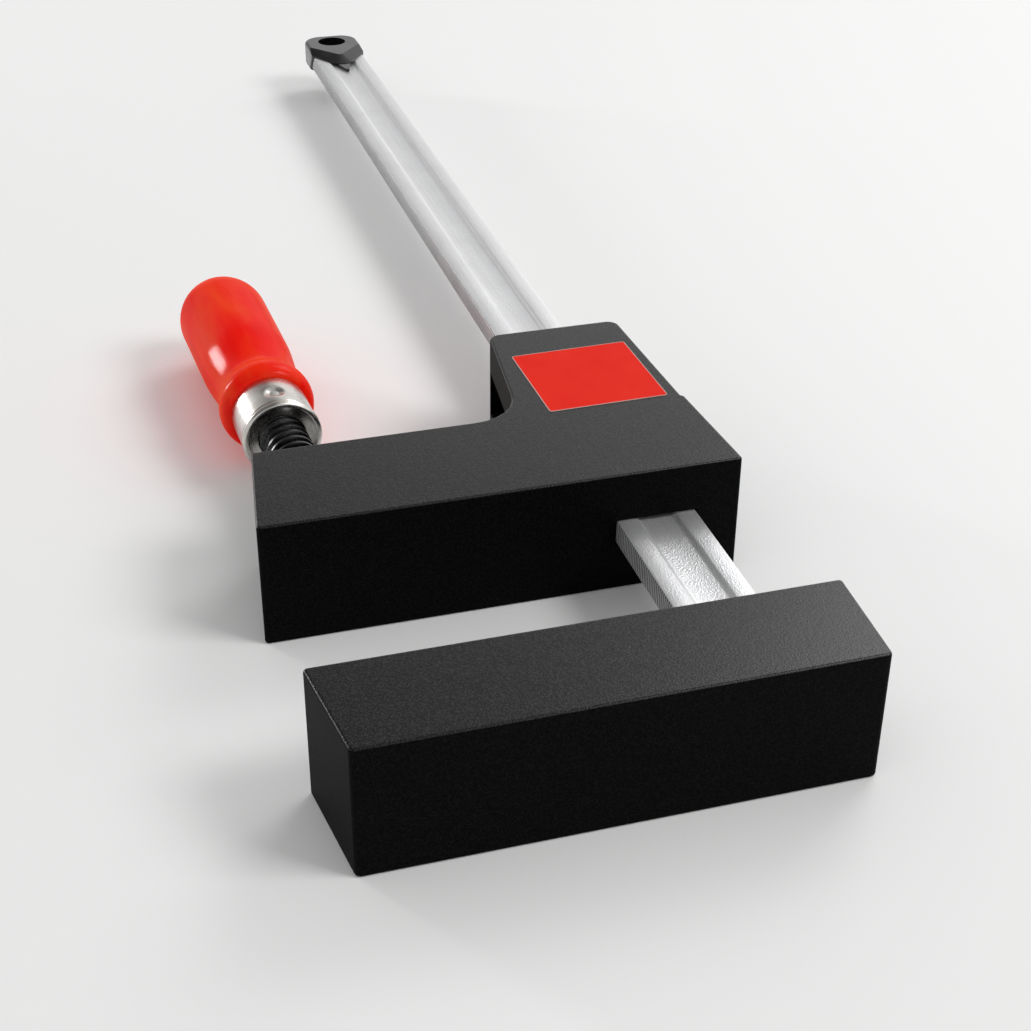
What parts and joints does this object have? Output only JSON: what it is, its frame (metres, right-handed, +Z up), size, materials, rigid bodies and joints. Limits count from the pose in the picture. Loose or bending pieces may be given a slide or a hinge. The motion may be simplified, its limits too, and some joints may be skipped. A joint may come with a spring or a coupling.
{
  "type": "parallel clamp",
  "caption": "Parallel bar clamp with a fixed jaw on a grooved steel rail and a sliding jaw that a screw with a turned wooden handle draws up.",
  "frame": {"origin": "centre of the rail on the fixed jaw's clamping face, at the mid-plane of the jaws", "axes": "+Y along the rail from the fixed jaw's clamping face to the end cap, +Z up with the clamp lying on its side, +X from the throat towards the heel"},
  "size_m": [0.1101, 0.451, 0.0302],
  "materials": {
    "zinc_rail": "bright zinc plate, satin",
    "steel_core": "plain steel",
    "black_moulding": "fine matte moulded texture",
    "cap_plastic": "glossy moulded plastic",
    "label_film": "printed film",
    "hard_steel": "ground steel",
    "cast_arm": "cast and coated",
    "black_screw": "black oxide",
    "handle_lacquer": "red glossy lacquer over turned wood",
    "ferrule_nickel": "bright nickel plate"
  },
  "bodies": {
    "frame": {"rail": "zinc_rail", "fixed_arm": "steel_core", "fixed_arm_rivets": "steel_core", "fixed_jaw_shell": "black_moulding", "heel_plug": "black_moulding", "rail_end_cap": "cap_plastic"},
    "moving_jaw": {"jaw_shell": "black_moulding", "jaw_label": "label_film", "thrust_disc": "hard_steel", "retaining_ring": "hard_steel"},
    "arm": {"sliding_arm": "cast_arm", "brake_spring": "hard_steel"},
    "screw": {"spindle": "black_screw", "tip_collar": "hard_steel", "handle": "handle_lacquer", "ferrule": "ferrule_nickel"}
  },
  "joints": [
    {"name": "jaw_slide", "type": "slide", "parent": "frame", "child": "moving_jaw", "axis": [0, 1, 0], "range_m": [-0.0507, 0.249]},
    {"name": "spindle_turn", "type": "hinge", "parent": "moving_jaw", "child": "screw", "pos_m": [-0.07221, 0.0835, 0], "axis": [0.0506, -0.9987, 0], "range_deg": [0, 2880]},
    {"name": "arm_draw", "type": "slide", "parent": "moving_jaw", "child": "arm", "axis": [-0.0506, 0.9987, 0], "range_m": [0, 0.024]}
  ],
  "couplings": [
    {"joint": "spindle_turn", "follows": "arm_draw", "rad_per_m": 2094.4}
  ]
}
